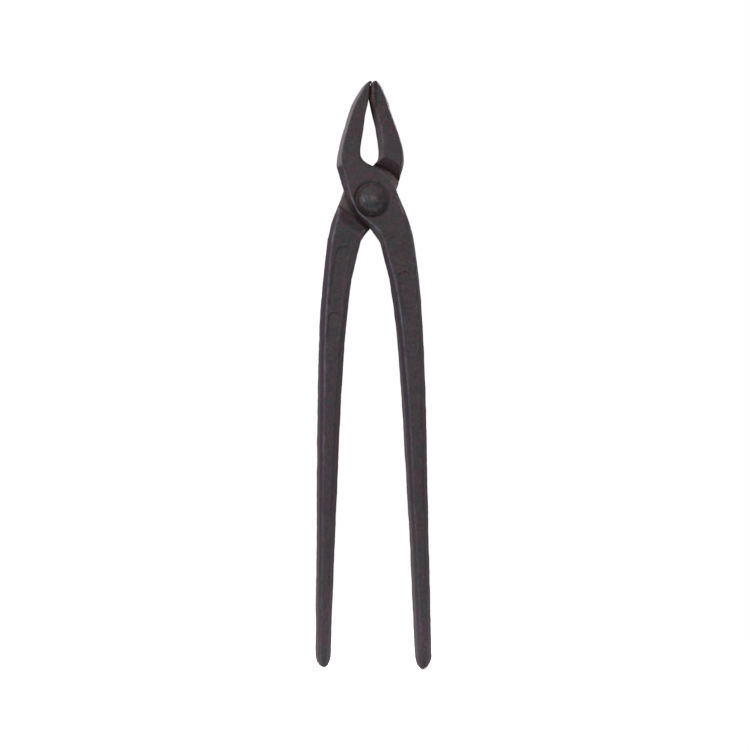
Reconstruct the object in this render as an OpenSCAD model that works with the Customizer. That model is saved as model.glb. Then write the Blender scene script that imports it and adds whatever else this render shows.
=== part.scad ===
// Blacksmith's tongs: two forged halves that cross at a lap joint and turn on one rivet.
// Each half is one bar: a pointed jaw, a flat boss and a long tapering rein. The second half is
// the first one turned over, so both work to the same sections.
// Frame: origin on the rivet's axis, midway between the lapped faces. +Z runs to the jaw tips,
// +X to the right and -Y to the front, where the rivet's domed head is.
// The halves are drawn flat first, as [x, along] with the thickness towards the front.

/* [Overall] */
// Length from the jaw tips to the rein ends
overall_l = 300; // [260:5:420]
// Length from the rivet's axis to the jaw tips
jaw_l = 60.8; // [54:0.2:68]
// Distance from the middle of the tongs to the middle of each rein's end
rein_spread = 25.8; // [22:0.2:34]

/* [Joint] */
// Thickness of each half where the two lap
lap_t = 8; // [6.5:0.5:10]
// Gap between the two lapped faces
lap_gap = 0.1; // [0.06:0.02:0.3]
// Radius of the lap pocket's wall under the jaw
jaw_shoulder_r = 18.2; // [18.1:0.1:19]
// Radius of the lap pocket's wall at the rein
rein_shoulder_r = 15.1; // [15:0.1:15.6]

/* [Jaws] */
// Thickness of a jaw at its tip
jaw_tip_t = 9; // [7:0.5:12]
// Gap between the closed bites
bite_gap = 0.2; // [0.1:0.05:0.5]
// Sideways lean of the closed tips
tip_lean = 1.6; // [0:0.1:2]
// Share by which the right jaw is broader, and the left one slimmer, than their mean
jaw_bias = 0.035; // [0:0.005:0.05]

/* [Reins] */
// Width of a rein near its end
rein_end_w = 7.7; // [7:0.1:10]
// Width that a rein gains up to its root
rein_swell = 8.4; // [5:0.1:10]
// Thickness of a rein at its end
rein_end_t = 7.6; // [6:0.1:9]
// Extra width of the right rein
right_rein_extra = 0.5; // [0:0.1:1]
// How much shorter the left rein is
left_rein_short = 2.2; // [0:0.1:3]

/* [Rivet] */
// Diameter of the shank
rivet_d = 10; // [8:0.5:11]
// Diameter of the domed head
head_d = 15.8; // [14:0.2:17]
// Height of the domed head
head_h = 5.0; // [4:0.1:6]
// Diameter of the hammered tail
tail_d = 15.2; // [13:0.2:17]
// Height of the hammered tail
tail_h = 3.4; // [2.5:0.1:5]
// Radial clearance of the bore that turns on the shank
turning_fit = 0.06; // [0.02:0.01:0.1]

/* [Hidden] */

steel = "#3a3739";
rivet_steel = "#423d3d";
eps = 0.01;

// Edges of the head at the sizes of a 61 mm jaw, as [lower-left edge, upper-right edge] pairs:
// rein root, boss round the rivet, jaw shoulder, jaw and tip.
HEAD = [
    [[4.95, -20.7], [21.9, -20.5]],
    [[1.6, -16.0], [19.7, -11.2]],
    [[-2.9, -11.7], [16.7, -3.1]],
    [[-7.2, -8.0], [14.3, 2.9]],
    [[-10.1, -3.1], [12.2, 8.6]],
    [[-12.2, 1.5], [8.8, 13.2]],
    [[-13.6, 5.2], [4.8, 16.2]],
    [[-14.9, 9.2], [0.8, 17.8]],
    [[-15.6, 13.0], [-2.6, 19.5]],
    [[-16.95, 17.4], [-4.3, 21.5]],
    [[-17.0, 22.0], [-4.9, 25.0]],
    [[-15.95, 28.6], [-4.5, 29.6]],
    [[-13.4, 37.2], [-3.1, 37.4]],
    [[-10.55, 46.0], [-1.3, 45.8]],
    [[-7.65, 53.1], [-0.1, 52.2]],
    [[-4.7, 58.3], [0.6, 57.8]],
    [[-2.85, 60.2], [-0.3, 59.9]],
    [[-1.8, 61.0], [-0.8, 60.9]],
];
head_l = 61;          // jaw length that HEAD is drawn for
head_steps = 2;       // stations along each stretch of HEAD

rein_l = overall_l - jaw_l;
rein_start = 26;      // distance below the rivet where the rein's own formula takes over
rein_lean = 0.0298;   // sideways run of the straight part of a rein
root_pull = 13.6;     // how far the root curves in towards the rivet
root_reach = 25.3;    // length over which that curve fades out
root_flare = 1.2;     // extra width where the rein runs out of the boss
rein_stations = 13;
end_round = 7;        // length of a rein's rounded end
round_steps = 4;

// Half the thickness of the jaw falls in a straight line from here to the tip.
jaw_taper_start = 21;
root_fall = 22;       // length over which the rein's root thins
land = 0.8;           // half height of the flat left by trimming along each edge
bite_land = 2.0;      // the same at the bite
bite_start = 46;      // height where the bites begin
lean_start = 45;      // height where the closed tips begin to lean
edge_chamfer = 0.35;  // chamfer along the flat faces
end_skew = 0.7;       // how far a rein's very end stands in from the rein's middle
tip_least = 1.7;      // least width of a jaw's tip

// Insets of the flat faces from the bar's edges, along the bar: [height of the section's middle,
// lower-left inset, upper-right inset on the left jaw's half, upper-right inset on the other half]
INSETS = [
    [-240, 2.5, 2.3, 2.3],
    [-100, 3.1, 2.9, 2.9],
    [-50, 2.3, 2.4, 2.4],
    [-15, 1.1, 1.7, 1.7],
    [4, 1.4, 1.4, 1.4],
    [12, 2.2, 1.3, 1.4],
    [24, 1.7, 1.0, 1.6],
    [37, 1.6, 0.5, 2.2],
    [61, 1.5, 0.5, 1.9],
];

// The two halves share one outline, but their inner edges differ a little, so that the tips seat left of
// the middle. Each half's inner edge stands off the shared one by these sideways shifts: [height, shift]
LEFT_DRESSING = [
    [-20, 0.4], [-3, 0.5], [4, 0.1], [17, 0], [19.5, 0.3], [22, -0.1], [33, 0.1], [41, -0.55],
    [50, -0.62], [53, -1.0], [61, -1.1],
];
RIGHT_DRESSING = [
    [13, 0], [16.2, -0.9], [17.8, -2.0], [19.5, -0.4], [22, 0], [27, 0.35], [37, 0.1], [50, 0.54],
    [53, 1.0], [58.5, 1.1], [60, 0.6], [61, 0],
];

function lerp(a, b, t) = a + (b - a) * t;
function clamp01(t) = min(1, max(0, t));

function spline_point(a, b, c, d, t) =
    0.5 * (2 * b + (c - a) * t + (2 * a - 5 * b + 4 * c - d) * t * t + (3 * b - a - 3 * c + d) * t * t * t);

// Points of a smooth curve through pts, with steps points to each stretch
function spline(pts, steps) = [
    for (i = [0 : len(pts) - 2])
        for (k = [0 : steps - (i == len(pts) - 2 ? 0 : 1)])
            spline_point(pts[max(i - 1, 0)], pts[i], pts[i + 1], pts[min(i + 2, len(pts) - 1)], k / steps),
];

// Middle of the rein at distance u below the rivet, and its width there
function rein_x(u) = rein_spread - rein_lean * (rein_l - u) - root_pull * exp(-u / root_reach);
function rein_w(u, extra) =
    rein_end_w + rein_swell * pow(1 - u / rein_l, 1.35) + root_flare * exp((rein_start - u) / 8)
    + extra * clamp01(u / rein_start);

// Square-ended section across the rein: [inner edge, outer edge], with share the part of its width kept
function rein_section(u, share, extra) =
    let (
        slope = (rein_x(u + 0.5) - rein_x(u - 0.5)),
        across = [cos(atan(slope)), sin(atan(slope))],
        half = rein_w(min(u, rein_l - end_round), extra) / 2,
        middle = [rein_x(u) + extra / 2 * clamp01(u / rein_start), -u] - across * end_skew * (1 - share)
    )
    [middle - across * half * share, middle + across * half * share];

function rein_sections(length, extra) = concat(
    [for (k = [0 : round_steps - 1])
        let (a = 90 * (k + 0.5) / round_steps)
        rein_section(length - end_round * (1 - cos(a)), sin(a), extra)],
    [for (k = [0 : rein_stations])
        rein_section(lerp(length - end_round, rein_start, pow(k / rein_stations, 0.8)), 1, extra)]
);

function head_sections(bias, dressing) =
    let (
        low = spline([for (s = HEAD) s[0]], head_steps),
        high = spline([for (s = HEAD) s[1]], head_steps),
        k = jaw_l / head_l
    )
    [for (i = [0 : len(low) - 1])
        let (
            outer = low[i][0] * (1 + bias * clamp01((low[i][1] - 16) / 8)),
            drawn = min(high[i][0], high[i][1] > bite_start ? -bite_gap / 2 : 100),
            inner = max(drawn + lookup(high[i][1], dressing), outer + tip_least)
        )
        [[outer, low[i][1] * k], [inner, high[i][1] * k]]];

// Sideways shift of the closed tips at height y
function lean_at(y) = tip_lean * pow(clamp01((y - lean_start) / (jaw_l - lean_start)), 1.5);

// Half the thickness at height y
function half_t(y) =
    y > jaw_taper_start ? lerp(lap_t, jaw_tip_t / 2, (y - jaw_taper_start) / (jaw_l - jaw_taper_start))
    : y > -16 ? lap_t
    : let (u = -y - 16, straight = lerp(lap_t * 0.76, rein_end_t / 2, u / (rein_l - 16)))
      straight + (lap_t - lap_t * 0.76) * exp(-u / root_fall * 1.4);

// Ring of points round one section, from the upper right corner at the front, counter-clockwise
function ring(section, side, closing) =
    let (
        a = section[0] + [side * lean_at(section[0][1]), 0],
        b = section[1] + [side * lean_at(section[1][1]), 0],
        w = norm(b - a),
        along = (b - a) / w,
        middle = (a[1] + b[1]) / 2,
        low = min(lookup(middle, [for (s = INSETS) [s[0], s[1]]]), w * 0.31),
        high = min(lookup(middle, [for (s = INSETS) [s[0], side > 0 ? s[2] : s[3]]]), w * 0.29),
        c = min(edge_chamfer, w * 0.1),
        flat_h = section[1][1] > bite_start ? bite_land : land,
        at = function (d, front) let (p = a + along * d, t = half_t(p[1]) * closing) [p[0], p[1], front * t],
        edge = function (p, h) [p[0], p[1], h * closing],
        shoulder = function (d, front) let (p = at(d, front)) [p[0], p[1], p[2] - front * c]
    )
    [edge(b, flat_h), shoulder(w - high + c, 1), at(w - high - c, 1), at(low + c, 1),
     shoulder(low - c, 1), edge(a, flat_h), edge(a, -flat_h), shoulder(low - c, -1),
     at(low + c, -1), at(w - high - c, -1), shoulder(w - high + c, -1), edge(b, -flat_h)];

// The whole bar, rein to tip, before the joint is cut into it. side is +1 for the left jaw's half.
module bar(side) {
    sections = side > 0
        ? concat(rein_sections(rein_l, right_rein_extra), head_sections(-jaw_bias, LEFT_DRESSING))
        : concat(rein_sections(rein_l - left_rein_short, 0), head_sections(jaw_bias, RIGHT_DRESSING));
    n = len(sections);
    rings = [for (i = [0 : n - 1])
        ring(sections[i], side,
             i < round_steps ? max(0.35, sin(90 * (i + 0.8) / round_steps)) : i == n - 1 ? 0.75 : 1)];
    m = len(rings[0]);
    polyhedron(
        points = [for (r = rings) each r],
        faces = concat(
            [[for (j = [m - 1 : -1 : 0]) j]],
            [for (i = [0 : n - 2]) for (j = [0 : m - 1])
                [i * m + j, (i + 1) * m + (j + 1) % m, (i + 1) * m + j]],
            [for (i = [0 : n - 2]) for (j = [0 : m - 1])
                [i * m + j, i * m + (j + 1) % m, (i + 1) * m + (j + 1) % m]],
            [[for (j = [0 : m - 1]) (n - 1) * m + j]]
        )
    );
}

// The lap pocket: everything the other half's boss sweeps behind the lapped face. Its wall stands at
// [angle, radius] round the rivet, and leans outwards over its depth: evenly under the jaw, and ever
// flatter at the rein, whose face it runs out into.
pocket_depth = lap_t + 2;
POCKET = [
    [-90, rein_shoulder_r], [-76, 12.9], [-62, 11.9], [-49, 11.6], [-34, 12.3], [-25, 13.1], [-19, 14.0],
    [-12, rein_shoulder_r], [-5, jaw_shoulder_r], [180, jaw_shoulder_r], [200, rein_shoulder_r],
    [270, rein_shoulder_r],
];
JAW_WALL = [0, 1.5, 2.6, 3.4, 4.0, 5.0];       // outward runs at the levels below
REIN_WALL = [0, 0.9, 2.1, 4.0, 6.8, 11.5];
LEVELS = [0, 0.3, 0.52, 0.68, 0.8, 1];         // shares of the pocket's depth
POCKET_STEP = 10;                              // degrees between the wall's stations

// 1 at the rein, 0 under the jaw
function rein_share(a) = clamp01((a + 96) / 12) * clamp01((-6 - a) / 14);

module lap_pocket() {
    angles = [for (a = [-90 : POCKET_STEP : 270 - POCKET_STEP]) a];
    n = len(angles);
    levels = len(LEVELS);
    walls = [for (i = [0 : levels - 1]) [for (a = angles)
        let (r = lookup(a, POCKET) + lerp(JAW_WALL[i], REIN_WALL[i], rein_share(a)))
        [r * cos(a), r * sin(a), lap_gap / 2 - LEVELS[i] * (pocket_depth + lap_gap / 2)]]];
    polyhedron(
        points = [for (w = walls) each w],
        faces = concat(
            [[for (j = [n - 1 : -1 : 0]) j]],
            [for (i = [0 : levels - 2]) for (j = [0 : n - 1])
                [i * n + j, i * n + (j + 1) % n, (i + 1) * n + j]],
            [for (i = [0 : levels - 2]) for (j = [0 : n - 1])
                [i * n + (j + 1) % n, (i + 1) * n + (j + 1) % n, (i + 1) * n + j]],
            [[for (j = [0 : n - 1]) (levels - 1) * n + j]]
        )
    );
}

module half(side, bore_r) {
    difference() {
        difference() {
            bar(side);
            translate([0, 0, -lap_t - 1])
                cylinder(r = bore_r, h = 2 * lap_t + 2, $fn = 96);
        }
        lap_pocket();
    }
}

module upright() {
    rotate([90, 0, 0])
        children();
}

module left_jaw_half() {
    color(steel)
        upright()
            half(1, rivet_d / 2);
}

module right_jaw_half() {
    color(steel)
        upright()
            rotate([0, 180, 0])
                half(-1, rivet_d / 2 + turning_fit);
}

// A cap of a sphere on a disc, standing on z = 0
module dome(d, h, rim) {
    r = (d * d / 4 + (h - rim) * (h - rim)) / (2 * (h - rim));
    cylinder(d = d, h = rim, $fn = 96);
    intersection() {
        translate([0, 0, h - r])
            sphere(r = r, $fn = 128);
        translate([0, 0, rim - eps])
            cylinder(d = d, h = h, $fn = 96);
    }
}

head_rim = 1.0;
tail_rim = 0.6;

module rivet() {
    color(rivet_steel)
        upright() {
            translate([0, 0, -lap_t - lap_gap - eps])
                cylinder(d = rivet_d, h = 2 * lap_t + lap_gap + 2 * eps, $fn = 96);
            translate([0, 0, lap_t])
                dome(head_d, head_h, head_rim);
            translate([0, 0, -lap_t - lap_gap])
                rotate([180, 0, 0])
                    dome(tail_d, tail_h, tail_rim);
        }
}

left_jaw_half();
right_jaw_half();
rivet();
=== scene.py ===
"""Blacksmith's tongs: two drop-forged halves in black scale on a hammered rivet, in a plain pale studio.

Each half is skinned over its CAD solid: edges rounded as a forging's are, the trimmed flash line along
its sides, blank maker's panels on the reins, and the scale's uneven, pitted surface. All positions are
in the CAD's frame: +Z to the jaw tips, +X right, -Y to the front, origin on the rivet's axis.
"""
import math

import bmesh
import bpy
import numpy as np
from mathutils import Matrix, Vector, noise


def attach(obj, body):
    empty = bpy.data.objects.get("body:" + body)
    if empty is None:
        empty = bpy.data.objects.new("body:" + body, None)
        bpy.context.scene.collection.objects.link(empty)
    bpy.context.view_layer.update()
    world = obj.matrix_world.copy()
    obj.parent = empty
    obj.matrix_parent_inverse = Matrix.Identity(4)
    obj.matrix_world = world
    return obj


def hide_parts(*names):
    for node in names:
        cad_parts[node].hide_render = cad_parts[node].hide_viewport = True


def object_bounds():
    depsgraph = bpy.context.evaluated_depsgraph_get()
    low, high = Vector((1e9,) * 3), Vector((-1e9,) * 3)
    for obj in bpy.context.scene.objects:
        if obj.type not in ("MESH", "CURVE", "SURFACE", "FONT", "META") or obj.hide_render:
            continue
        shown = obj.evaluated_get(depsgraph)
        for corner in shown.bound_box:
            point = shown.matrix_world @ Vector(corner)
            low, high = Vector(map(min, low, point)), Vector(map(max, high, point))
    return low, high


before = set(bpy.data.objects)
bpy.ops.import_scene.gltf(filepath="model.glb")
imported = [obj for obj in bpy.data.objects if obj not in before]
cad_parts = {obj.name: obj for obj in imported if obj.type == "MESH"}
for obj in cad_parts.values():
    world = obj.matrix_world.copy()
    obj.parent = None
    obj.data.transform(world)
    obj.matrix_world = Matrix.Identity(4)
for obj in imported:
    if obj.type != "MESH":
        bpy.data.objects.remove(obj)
cad_low, cad_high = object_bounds()

MM = 0.001
HALF_VOXEL = 0.42 * MM
RIVET_VOXEL = 0.24 * MM

# Rein and joint sizes, in mm, as the CAD has them
REIN_END_X = 18.68
REIN_LEAN = 0.0298
ROOT_PULL = 13.6
ROOT_REACH = 25.3
FACE = 8.0
LAP = 0.05
BORE_R = 5.06
HEAD_R = 7.9
TAIL_R = 7.6

# Blank panels on the front of the reins: side (-1 left, 1 right), middle below the rivet, half length, half width
PANELS = [
    (-1, 39.0, 15.0, 3.3),
    (-1, 64.5, 7.5, 3.0),
    (1, 48.0, 11.5, 3.4),
]


# ---------- mesh tools ----------

def smoothstep(low, high, value):
    t = np.clip((value - low) / (high - low), 0.0, 1.0)
    return t * t * (3.0 - 2.0 * t)


def bell(value, width):
    return np.exp(-((value / width) ** 2))


class Skin:
    """An evenly meshed copy of a CAD node, with its points in mm as numpy arrays."""

    def __init__(self, node, name, voxel):
        source = bmesh.new()
        source.from_mesh(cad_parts[node].data)
        bmesh.ops.remove_doubles(source, verts=source.verts, dist=1e-6)
        coarse = bpy.data.meshes.new(name + "_coarse")
        source.to_mesh(coarse)
        source.free()
        holder = bpy.data.objects.new(name + "_coarse", coarse)
        bpy.context.scene.collection.objects.link(holder)
        remesh = holder.modifiers.new("even", "REMESH")
        remesh.mode = "VOXEL"
        remesh.voxel_size = voxel
        graph = bpy.context.evaluated_depsgraph_get()
        self.mesh = bpy.data.meshes.new_from_object(holder.evaluated_get(graph))
        bpy.data.objects.remove(holder)
        bpy.data.meshes.remove(coarse)
        self.mesh.name = name
        self.name = name
        count = len(self.mesh.vertices)
        flat = np.empty(count * 3)
        self.mesh.vertices.foreach_get("co", flat)
        self.co = flat.reshape(-1, 3) / MM
        ends = np.empty(len(self.mesh.edges) * 2, dtype=np.int64)
        self.mesh.edges.foreach_get("vertices", ends)
        self.a, self.b = ends.reshape(-1, 2).T
        self.degree = np.bincount(np.concatenate([self.a, self.b]), minlength=count)

    def mean_of_neighbours(self, values):
        columns = values.reshape(len(values), -1)
        out = np.empty_like(columns)
        for k in range(columns.shape[1]):
            total = np.bincount(self.a, weights=columns[self.b, k], minlength=len(values))
            total += np.bincount(self.b, weights=columns[self.a, k], minlength=len(values))
            out[:, k] = total / self.degree
        return out.reshape(values.shape)

    def smoothed(self, values, steps, share=0.5):
        for _ in range(steps):
            values = values + share * (self.mean_of_neighbours(values) - values)
        return values

    def store(self):
        self.mesh.vertices.foreach_set("co", (self.co * MM).ravel())
        self.mesh.update()

    def normals(self):
        self.store()
        flat = np.empty(len(self.co) * 3)
        self.mesh.vertex_normals.foreach_get("vector", flat)
        return flat.reshape(-1, 3)

    def curvature(self):
        """Positive on ridges and negative in hollows, evened out over a few points."""
        bulge = -((self.mean_of_neighbours(self.co) - self.co) * self.normals()).sum(axis=1)
        return self.smoothed(bulge, 3)

    def attribute(self, name, values):
        layer = self.mesh.attributes.new(name, "FLOAT", "POINT")
        layer.data.foreach_set("value", np.clip(values, 0.0, 1.0).astype(np.float32))

    def finish(self, body, slot, node, material):
        self.store()
        self.mesh.polygons.foreach_set("use_smooth", [True] * len(self.mesh.polygons))
        self.mesh.materials.clear()
        self.mesh.materials.append(material)
        piece = bpy.data.objects.new(self.name, self.mesh)
        bpy.context.scene.collection.objects.link(piece)
        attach(piece, body)
        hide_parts(node)
        return piece


def sampled(points, scale, function):
    return np.array([function(Vector(p)) for p in points / scale])


def rough(points, scale, seed):
    """Smooth noise from about -1 to 1, with features about scale mm across."""
    return sampled(points + seed, scale, noise.noise)


def pits(points, scale, seed, share, width):
    """1 at the bottom of scattered round pits, 0 between them. share is the part of the cells that has one."""
    def depth(p):
        distances, nearest = noise.voronoi(p)
        if noise.cell(nearest[0] * 7.31) > share:
            return 0.0
        return max(0.0, 1.0 - distances[0] / width)
    return sampled(points + seed, scale, depth)


def rivet_ring_shade(x, z):
    """Painted shade round the rivet: most at its lower left, least at its upper right."""
    return 0.56 - (0.42 * x + 0.22 * z) / np.maximum(np.hypot(x, z), 1.0)


# ---------- the forged halves ----------

def rein_middle(below):
    return REIN_END_X + REIN_LEAN * below - ROOT_PULL * np.exp(-below / ROOT_REACH)


def panel_relief(x, below, side, middle, half_length, half_width):
    """Height of a sunk panel with a low raised border, in mm, over a rein's face."""
    corner = half_width * 0.9
    across = np.abs(x - side * rein_middle(below)) - (half_width - corner)
    along = np.abs(below - middle) - (half_length - corner)
    outside = np.hypot(np.maximum(across, 0), np.maximum(along, 0)) + np.minimum(np.maximum(across, along), 0)
    distance = outside - corner
    return -0.26 * smoothstep(0.5, -0.6, distance) + 0.07 * bell(distance - 0.6, 0.6)


def forge(node, name, seed, side):
    """Skins one half. side is -1 for the half whose rein is on the left."""
    skin = Skin(node, name, HALF_VOXEL)
    skin.co = skin.smoothed(skin.co, 2)
    # The pocket's walls were fullered, not cut, so they blend into the face.
    x, y, z = skin.co.T
    radius = np.hypot(x, z)
    soft = smoothstep(14.6, 15.6, radius) * smoothstep(27.0, 22.0, radius) * (np.abs(y) > LAP + 0.3)
    for _ in range(14):
        skin.co += 0.5 * soft[:, None] * (skin.mean_of_neighbours(skin.co) - skin.co)
    curvature = skin.curvature()
    normal = skin.normals()
    x, y, z = skin.co.T
    radius = np.hypot(x, z)
    inward = np.abs(normal[:, 0] * x + normal[:, 2] * z) / np.maximum(radius, 0.01)
    lap_face = (np.abs(y) < LAP + 0.35) & (np.abs(normal[:, 1]) > 0.8) & (radius < 24)
    bore = (radius < BORE_R + 0.9) & (inward > 0.35)
    free = skin.smoothed(1.0 - (lap_face | bore).astype(float), 3)
    free *= 1.0 - (lap_face | bore)
    seat = smoothstep(HEAD_R + 0.3, HEAD_R + 1.6, radius)
    front = smoothstep(0.7, 0.93, -normal[:, 1])
    back = smoothstep(0.7, 0.93, normal[:, 1])
    flank = 1.0 - smoothstep(0.35, 0.8, np.abs(normal[:, 1]))

    height = 0.20 * rough(skin.co, 26.0, seed) + 0.11 * rough(skin.co, 9.0, seed + 40)
    height += 0.080 * rough(skin.co, 3.6, seed + 80) + 0.055 * rough(skin.co, 1.6, seed + 120)
    scale_pits = pits(skin.co, 2.6, seed + 11, 0.42, 0.42)
    height -= 0.11 * scale_pits ** 1.5
    height *= seat

    # The flash trimmed off along the parting line leaves an uneven raised strip.
    strip = flank * bell(y, 0.42) * smoothstep(19.0, 24.0, radius)
    height += strip * (0.13 + 0.10 * rough(skin.co, 6.0, seed + 160))

    below = -z
    for panel_side, middle, half_length, half_width in PANELS:
        if panel_side == side:
            panel = panel_relief(x, below, side, middle, half_length, half_width)
            height += panel * front * (1.0 + 0.25 * rough(skin.co, 2.4, seed + 200))

    # The rivet was set hot, so its head and tail are bedded in the faces they sit on.
    ring = bell(radius - HEAD_R - 0.45, 0.8)
    height -= 0.28 * ring * (front if side > 0 else back)

    skin.co = skin.co + normal * (height * free)[:, None]
    skin.co[:, 1] = np.where(lap_face, np.sign(y) * np.maximum(np.abs(y), LAP), skin.co[:, 1])

    # The jaws' outer flanks are lighter, ground clean and partly painted light; their inner flanks and the reins'
    # sides (the left-facing ones most) get painted light, and their bites are browned by the work.
    outward = -normal[:, 0] * side
    steep = 1.0 - smoothstep(0.66, 0.86, np.abs(normal[:, 1]))
    ground_and_lit = steep * smoothstep(0.15, 0.5, outward) * smoothstep(16.2, 18.0, z)
    inner = steep * smoothstep(0.25, 0.5, -outward) * smoothstep(17.0, 21.0, z)
    bite = inner * smoothstep(42.0, 53.0, z)
    rein_sides = steep * smoothstep(25.0, 100.0, -z)
    left_flank = smoothstep(0.4, 0.7, -normal[:, 0]) * smoothstep(-3.2, -1.4, y)
    ground_and_lit = ground_and_lit + rein_sides * (0.42 * left_flank + 0.22 * smoothstep(0.4, 0.7, normal[:, 0]))
    ground_and_lit = ground_and_lit + 0.36 * inner * (1.0 - smoothstep(40.0, 50.0, z))
    # Exposed lap faces are rust-tan and partly painted light in the pocket's shade; the pocket walls get painted light
    # that lifts their shade.
    lap = (np.abs(y) < 1.2) * (np.abs(normal[:, 1]) > 0.8) * smoothstep(10.5, 12.5, radius) * (radius < 25)
    lap = lap * (0.3 + 0.6 * smoothstep(7.5, 10.0, x) + 0.2 * smoothstep(11.0, 13.5, -x))
    pocket = smoothstep(14.0, 15.5, radius) * smoothstep(26.0, 22.0, radius) * (np.abs(x) < 14.0)
    waist = smoothstep(9.5, 11.0, radius) * smoothstep(20.0, 16.0, radius) * smoothstep(6.0, 2.0, z)
    wall = steep * (np.abs(y) < 7.0) * np.maximum(pocket, waist) * (1.0 - ground_and_lit)
    stain = smoothstep(3.9, 2.6, x) * smoothstep(40.0, 50.0, z) if side < 0 else 0.0 * z

    wear_and_highlight = smoothstep(0.009, 0.020, curvature) * (0.8 + 0.5 * rough(skin.co, 7.0, seed + 240))
    wear_and_highlight *= 0.25 + 0.75 * smoothstep(0.15, 0.45, np.abs(normal[:, 1]))
    wear_and_highlight *= 1.0 - 0.75 * smoothstep(12.0, 17.0, z) * smoothstep(30.0, 24.0, radius)
    wear_and_highlight *= 1.0 + 0.9 * smoothstep(14.0, 11.0, radius)
    wear_and_highlight *= 1.0 - 0.65 * smoothstep(15.0, 19.0, z) - 0.3 * smoothstep(20.0, 32.0, -z)
    wear_and_highlight *= 1.0 - 0.6 * smoothstep(70.0, 140.0, -z)
    # The boss's lower ridge is lightened as a worn edge and as a painted reflection.
    boss_wear_and_reflection = smoothstep(9.5, 11.5, radius) * smoothstep(19.0, 16.0, radius) * smoothstep(3.0, -3.0, z)
    rounded = skin.smoothed(curvature, 8)
    wear_and_highlight = np.maximum(wear_and_highlight, boss_wear_and_reflection * smoothstep(0.0045, 0.010, rounded) * smoothstep(0.15, 0.45, np.abs(normal[:, 1])))
    skin.attribute("wear_and_highlight", wear_and_highlight * (1.0 - ground_and_lit))
    # Painted shade in creases and scale pits; rust also gathers there.
    skin.attribute("hollow", smoothstep(0.004, 0.030, -curvature) + 0.5 * scale_pits)
    # Painted shade round the rivet's head and tail, most at lower left, darker rein ends, and the bite's stain.
    skin.attribute("grime_and_shade", ring * (front + back) * rivet_ring_shade(x, z) + 0.8 * stain + 0.35 * smoothstep(229.0, 237.0, -z))
    # The sides carry painted shade.
    skin.attribute("flank", flank * (1.0 - ground_and_lit))
    skin.attribute("ground_and_lit", ground_and_lit)
    skin.attribute("rust_and_painted_light", skin.smoothed(lap, 4) + 0.45 * wall + 0.8 * bite)
    return skin


# ---------- the rivet ----------

def hammer(skin, sign, face, top, count, tilt, bite, seed):
    """Flattens count facets round a dome whose face is at face and whose top is at top, both in mm along -Y * sign."""
    crown = (HEAD_R ** 2 + (top - face) ** 2) / (2 * (top - face))
    centre = np.array([0.0, -sign * (top - crown), 0.0])
    outer = (-sign * skin.co[:, 1]) > face + 0.35
    for k in range(count):
        turn = 2.39996 * k + seed
        lean = math.radians(tilt * (0.35 + 0.75 * math.sqrt((k + 0.5) / count)))
        ray = np.array([
            math.sin(lean) * math.cos(turn),
            -sign * math.cos(lean),
            math.sin(lean) * math.sin(turn),
        ])
        depth = bite * (0.55 + 0.45 * math.sin(5.1 * k + seed))
        over = (skin.co - centre) @ ray - (crown - depth)
        skin.co -= np.where(outer & (over > 0), over, 0.0)[:, None] * ray


def make_rivet():
    skin = Skin("rivet", "hammered_rivet", RIVET_VOXEL)
    skin.co = skin.smoothed(skin.co, 4)
    hammer(skin, 1.0, FACE, FACE + 5.0, 15, 44, 0.07, 0.6)
    hammer(skin, -1.0, FACE + 0.1, FACE + 3.5, 13, 34, 0.20, 2.1)
    skin.co = skin.smoothed(skin.co, 2)
    curvature = skin.curvature()
    normal = skin.normals()
    x, y, z = skin.co.T
    radius = np.hypot(x, z)
    dome = smoothstep(FACE + 0.25, FACE + 0.9, np.abs(y))
    height = 0.10 * rough(skin.co, 4.5, 3.0) + 0.035 * rough(skin.co, 1.1, 17.0)
    dents = pits(skin.co, 1.7, 23.0, 0.35, 0.45)
    height -= 0.05 * dents
    skin.co = skin.co + normal * (height * dome)[:, None]
    # Painted shade darkens the dome's rim, most at its lower left, and its hollows and dents.
    rim = smoothstep(5.6, 7.0, radius) * dome
    # A painted highlight on the dome's lower right, kept with the worn edges.
    glint = 0.6 * bell(np.hypot(x - 4.1, z + 3.8), 1.1)
    skin.attribute("wear_and_highlight", (smoothstep(0.004, 0.016, curvature) + glint) * dome)
    skin.attribute("hollow", smoothstep(0.003, 0.02, -curvature) + 0.4 * dents)
    skin.attribute("grime_and_shade", rim * rivet_ring_shade(x, z))
    return skin


# ---------- materials ----------

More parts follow.
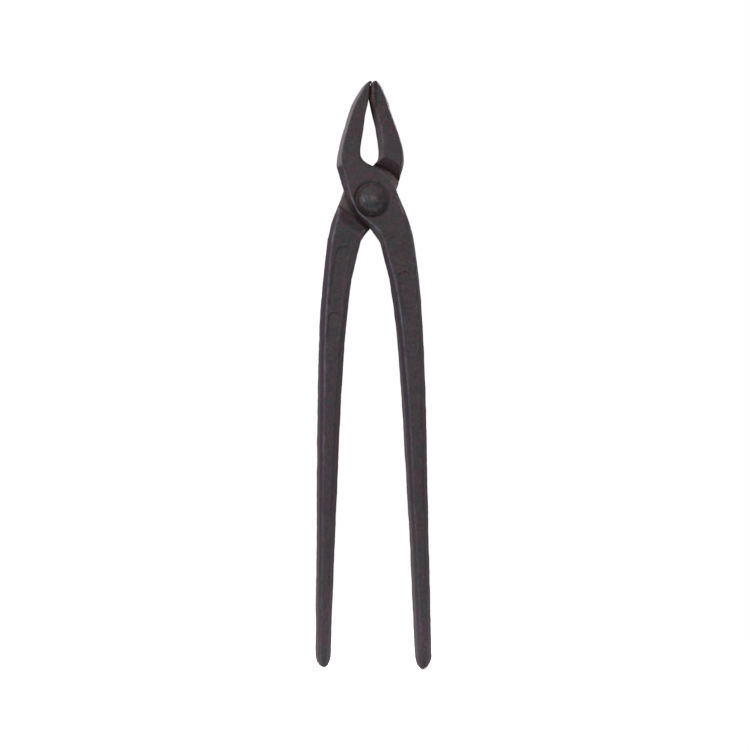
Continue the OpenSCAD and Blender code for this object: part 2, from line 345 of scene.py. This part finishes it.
class Nodes:
    def __init__(self, material):
        material.use_nodes = True
        self.tree = material.node_tree
        self.tree.nodes.clear()

    def add(self, kind, inputs=None, **settings):
        node = self.tree.nodes.new(kind)
        for key, value in settings.items():
            setattr(node, key, value)
        for key, value in (inputs or {}).items():
            if isinstance(value, bpy.types.NodeSocket):
                self.tree.links.new(value, node.inputs[key])
            else:
                node.inputs[key].default_value = value
        return node

    def noise(self, coordinate, scale, detail=4.0, roughness=0.55, distortion=0.0):
        node = self.add("ShaderNodeTexNoise", {
            "Vector": coordinate, "Scale": scale, "Detail": detail, "Roughness": roughness, "Distortion": distortion})
        return node.outputs["Fac"]

    def ramp(self, value, stops):
        node = self.add("ShaderNodeValToRGB", {"Fac": value})
        ramp = node.color_ramp
        while len(ramp.elements) < len(stops):
            ramp.elements.new(0.5)
        for element, (place, colour) in zip(ramp.elements, stops):
            element.position = place
            element.color = (*colour, 1.0) if isinstance(colour, tuple) else (colour, colour, colour, 1.0)
        return node.outputs["Color"]

    def math(self, operation, a, b=0.5, clamp=False):
        return self.add("ShaderNodeMath", {0: a, 1: b}, operation=operation, use_clamp=clamp).outputs[0]

    def mix(self, share, a, b, blend="MIX"):
        node = self.add("ShaderNodeMix", {"Factor": share}, data_type="RGBA", blend_type=blend)
        for socket, value in ((node.inputs[6], a), (node.inputs[7], b)):
            if isinstance(value, bpy.types.NodeSocket):
                self.tree.links.new(value, socket)
            else:
                socket.default_value = (*value, 1.0)
        return node.outputs[2]

    def attribute(self, name):
        return self.add("ShaderNodeAttribute", attribute_name=name).outputs["Fac"]


def scale_steel(name, tints, worn_and_highlight, rust, shine):
    """Black forging scale: mottled in four tints, rubbed bright on its edges with painted highlights there too,
    painted shade with some grime and brown rust in its hollows, painted shade on its sides, painted light on some
    flanks.
    """
    material = bpy.data.materials.new(name)
    n = Nodes(material)
    place = n.add("ShaderNodeTexCoord").outputs["Object"]
    place = n.add("ShaderNodeMapping", {"Vector": place, "Scale": (1000.0, 1000.0, 1000.0)}).outputs["Vector"]
    cool, dark, warm, plum = tints

    broad = n.noise(place, 0.11, 3.0, 0.5, 0.4)
    patches = n.noise(place, 0.36, 5.0, 0.66, 0.3)
    blotches = n.noise(place, 0.62, 3.0, 0.6)
    grain = n.noise(place, 1.9, 4.0, 0.75)
    fine = n.noise(place, 7.0, 2.0, 0.6)

    tint = n.ramp(patches, [(0.36, cool), (0.47, dark), (0.56, warm), (0.66, plum)])
    tint = n.mix(n.ramp(broad, [(0.35, 0.0), (0.70, 0.35)]), tint, warm)
    speckle = n.ramp(grain, [(0.32, 0.45), (0.50, 0.92), (0.66, 1.85)])
    colour = n.mix(1.0, tint, speckle, "MULTIPLY")
    colour = n.mix(1.0, colour, n.ramp(blotches, [(0.34, 0.80), (0.66, 1.22)]), "MULTIPLY")
    drift = n.ramp(n.noise(place, 0.17, 2.0), [(0.36, (0.80, 1.10, 1.0)), (0.5, (1.0, 1.0, 1.0)), (0.64, (1.20, 0.86, 1.10))])
    colour = n.mix(1.0, colour, drift, "MULTIPLY")
    # Painted shade on the sides: a plum tone where they face sideways.
    flank = n.attribute("flank")
    colour = n.mix(n.math("MULTIPLY", flank, 0.8), colour, FLANK_SHADE)
    # Ground steel, partly painted light on the jaws' and reins' flanks.
    colour = n.mix(n.attribute("ground_and_lit"), colour, n.mix(1.0, n.ramp(grain, [
        (0.30, 0.75), (0.70, 1.25)]), GROUND_STEEL_AND_LIGHT, "MULTIPLY"))

    # Painted shade in hollows and round the rivet, with some real grime, and rust in the hollows.
    hollow = n.attribute("hollow")
    grime_and_shade = n.attribute("grime_and_shade")
    spotty = n.ramp(n.noise(place, 0.6, 4.0, 0.6), [(0.42, 0.0), (0.66, 1.0)])
    shade_and_grime_share = n.math("ADD", n.math("MULTIPLY", hollow, 0.25), n.math("MULTIPLY", grime_and_shade, 0.8), True)
    colour = n.mix(shade_and_grime_share, colour, SHADE_AND_GRIME)
    rust_here = n.math("MULTIPLY", n.math("ADD", n.math("MULTIPLY", hollow, 0.4), grime_and_shade), spotty, True)
    colour = n.mix(n.math("MULTIPLY", rust_here, 0.45), colour, rust)
    # Rust-tan on the lap faces and bites, partly painted light lifting the shade in the pocket.
    colour = n.mix(n.math("MULTIPLY", n.attribute("rust_and_painted_light"), n.ramp(
        patches, [(0.36, 0.35), (0.62, 1.0)]), True), colour, LAP_RUST_AND_LIGHT)

    # Worn edges are lightened, and the painted highlights on the boss ridge and rivet with them.
    rubbed_and_highlight = n.math("MULTIPLY", n.attribute("wear_and_highlight"), n.ramp(grain, [(0.35, 0.35), (0.62, 1.0)]), True)
    rubbed_and_highlight = n.math("MULTIPLY", rubbed_and_highlight, n.ramp(n.noise(place, 0.22, 2.0), [(0.36, 0.45), (0.62, 1.0)]), True)
    colour = n.mix(rubbed_and_highlight, colour, worn_and_highlight)

    roughness = n.math("ADD", n.math("MULTIPLY", grain, 0.30), shine, True)
    roughness = n.math("SUBTRACT", roughness, n.math("MULTIPLY", rubbed_and_highlight, 0.14), True)
    roughness = n.math("ADD", roughness, n.math("MULTIPLY", shade_and_grime_share, 0.4), True)
    metal = n.math("ADD", n.math("MULTIPLY", rubbed_and_highlight, 0.4), 0.2, True)
    sheen = n.math("SUBTRACT", 0.39, n.math("MULTIPLY", shade_and_grime_share, 0.34), True)
    sheen = n.math("SUBTRACT", sheen, n.math("MULTIPLY", flank, 0.16), True)

    relief = n.math("ADD", n.math("MULTIPLY", grain, 0.8), n.math("MULTIPLY", fine, 0.3))
    relief = n.math("ADD", relief, n.math("MULTIPLY", patches, 0.9))
    bump = n.add("ShaderNodeBump", {"Strength": 0.7, "Distance": 0.11 * MM, "Height": relief}).outputs["Normal"]
    shader = n.add("ShaderNodeBsdfPrincipled", {
        "Base Color": colour, "Roughness": roughness, "Metallic": metal, "Normal": bump,
        "Specular IOR Level": sheen})
    output = n.add("ShaderNodeOutputMaterial")
    n.tree.links.new(shader.outputs["BSDF"], output.inputs["Surface"])
    return material


# The side colour is painted shade; the ground colour partly painted light; the lap colour rust and partly painted
# light; the dark colour painted shade with some real grime.
FLANK_SHADE = (0.040, 0.022, 0.036)
GROUND_STEEL_AND_LIGHT = (0.136, 0.106, 0.120)
LAP_RUST_AND_LIGHT = (0.120, 0.082, 0.072)
SHADE_AND_GRIME = (0.007, 0.0055, 0.006)
forged_steel = scale_steel(
    "forged_scale",
    [(0.018, 0.020, 0.025), (0.024, 0.015, 0.021), (0.029, 0.022, 0.018), (0.037, 0.014, 0.030)],
    (0.115, 0.115, 0.130), (0.075, 0.034, 0.018), 0.38)
rivet_steel = scale_steel(
    "rivet_scale",
    [(0.028, 0.027, 0.043), (0.032, 0.025, 0.030), (0.041, 0.031, 0.024), (0.046, 0.025, 0.040)],
    (0.12, 0.12, 0.14), (0.080, 0.044, 0.028), 0.20)


# ---------- pieces ----------

forge("left_jaw_half", "forged_left_jaw_half", 5.0, 1).finish(
    "left_jaw_half", "forged_steel", "left_jaw_half", forged_steel)
forge("right_jaw_half", "forged_right_jaw_half", 71.0, -1).finish(
    "right_jaw_half", "forged_steel", "right_jaw_half", forged_steel)
make_rivet().finish("left_jaw_half", "rivet_steel", "rivet", rivet_steel)


# ---------- studio ----------

FLOOR_Z = cad_low.z - 0.4 * MM
SHEET = 3.0


def pale_floor():
    """White that takes a soft shadow under the tongs and melts into the white surround further out."""
    material = bpy.data.materials.new("pale_floor")
    n = Nodes(material)
    place = n.add("ShaderNodeNewGeometry").outputs["Position"]
    flat = n.add("ShaderNodeVectorMath", {0: place, 1: (1.0, 1.0, 0.0)}, operation="MULTIPLY").outputs[0]
    reach = n.add("ShaderNodeVectorMath", {0: flat}, operation="LENGTH").outputs["Value"]
    far = n.add("ShaderNodeMapRange", {"Value": reach, "From Min": 0.06, "From Max": 0.22}).outputs["Result"]
    near = n.add("ShaderNodeBsdfDiffuse", {"Color": (0.95, 0.95, 0.95, 1.0)})
    seen = n.add("ShaderNodeLightPath").outputs["Is Camera Ray"]
    glow = n.add("ShaderNodeEmission", {"Color": (1.0, 1.0, 1.0, 1.0), "Strength": n.math(
        "ADD", n.math("MULTIPLY", seen, 0.6), 0.4)})
    lift = n.add("ShaderNodeAddShader", {0: near.outputs[0], 1: n.add(
        "ShaderNodeEmission", {"Color": (1.0, 1.0, 1.0, 1.0), "Strength": n.math(
            "MULTIPLY", seen, 0.35)}).outputs[0]})
    shader = n.add("ShaderNodeMixShader", {0: far, 1: lift.outputs[0], 2: glow.outputs[0]})
    output = n.add("ShaderNodeOutputMaterial")
    n.tree.links.new(shader.outputs[0], output.inputs["Surface"])
    return material


floor_mesh = bpy.data.meshes.new("floor")
floor_mesh.from_pydata(
    [(-SHEET, -SHEET, FLOOR_Z), (SHEET, -SHEET, FLOOR_Z), (SHEET, SHEET, FLOOR_Z), (-SHEET, SHEET, FLOOR_Z)],
    [], [(0, 1, 2, 3)])
floor = bpy.data.objects.new("floor", floor_mesh)
floor_mesh.materials.append(pale_floor())
bpy.context.scene.collection.objects.link(floor)

# The world is white to the camera and dimmer as a light, so that dark steel keeps its contrast.
world = bpy.data.worlds.new("studio")
bpy.context.scene.world = world
w = Nodes(world)
seen = w.add("ShaderNodeBackground", {"Color": (1.0, 1.0, 1.0, 1.0), "Strength": 1.0})
lit = w.add("ShaderNodeBackground", {"Color": (1.0, 0.96, 1.0, 1.0), "Strength": 0.48})
path = w.add("ShaderNodeLightPath")
choice = w.add("ShaderNodeMixShader", {
    0: path.outputs["Is Camera Ray"], 1: lit.outputs["Background"], 2: seen.outputs["Background"]})
sky = w.add("ShaderNodeOutputWorld")
w.tree.links.new(choice.outputs["Shader"], sky.inputs["Surface"])


def area_light(name, place, target, size, power, colour):
    data = bpy.data.lights.new(name, "AREA")
    data.shape = "RECTANGLE"
    data.size, data.size_y = size
    data.energy = power
    data.color = colour
    light = bpy.data.objects.new(name, data)
    light.location = place
    light.rotation_euler = (Vector(target) - Vector(place)).to_track_quat("-Z", "Y").to_euler()
    bpy.context.scene.collection.objects.link(light)
    return light


CENTRE = (0.0, 0.0, -0.09)
key = area_light("key", (-0.55, -0.35, 1.05), CENTRE, (0.7, 0.7), 19.0, (1.0, 0.97, 1.0))
key.visible_glossy = False
area_light("window", (-1.0, -0.74, -0.02), CENTRE, (0.20, 0.32), 6.0, (0.84, 0.92, 1.0))
area_light("front", (0.12, -1.3, 0.15), CENTRE, (0.9, 0.6), 5.5, (1.0, 0.98, 1.0))
area_light("back", (0.6, 1.1, 0.7), CENTRE, (0.7, 0.7), 9.0, (1.0, 1.0, 1.0))

# ---------- camera ----------

AZIMUTH = math.radians(-6.0)
DISTANCE = 0.75
AIM = Vector((1.95 * MM, 0.0, -88.7 * MM))
VIEW_WIDTH = 382.6 * MM
ROLL = math.radians(-0.38)
SENSOR = 36.0

camera_data = bpy.data.cameras.new("camera")
camera_data.sensor_width = SENSOR
camera_data.lens = SENSOR * DISTANCE / VIEW_WIDTH
camera = bpy.data.objects.new("camera", camera_data)
camera.location = AIM + DISTANCE * Vector((math.sin(AZIMUTH), -math.cos(AZIMUTH), 0.0))
facing = (AIM - camera.location).to_track_quat("-Z", "Y").to_matrix()
camera.rotation_euler = (facing @ Matrix.Rotation(ROLL, 3, "Z")).to_euler()
bpy.context.scene.collection.objects.link(camera)
bpy.context.scene.camera = camera
bpy.context.scene.view_settings.view_transform = "Standard"
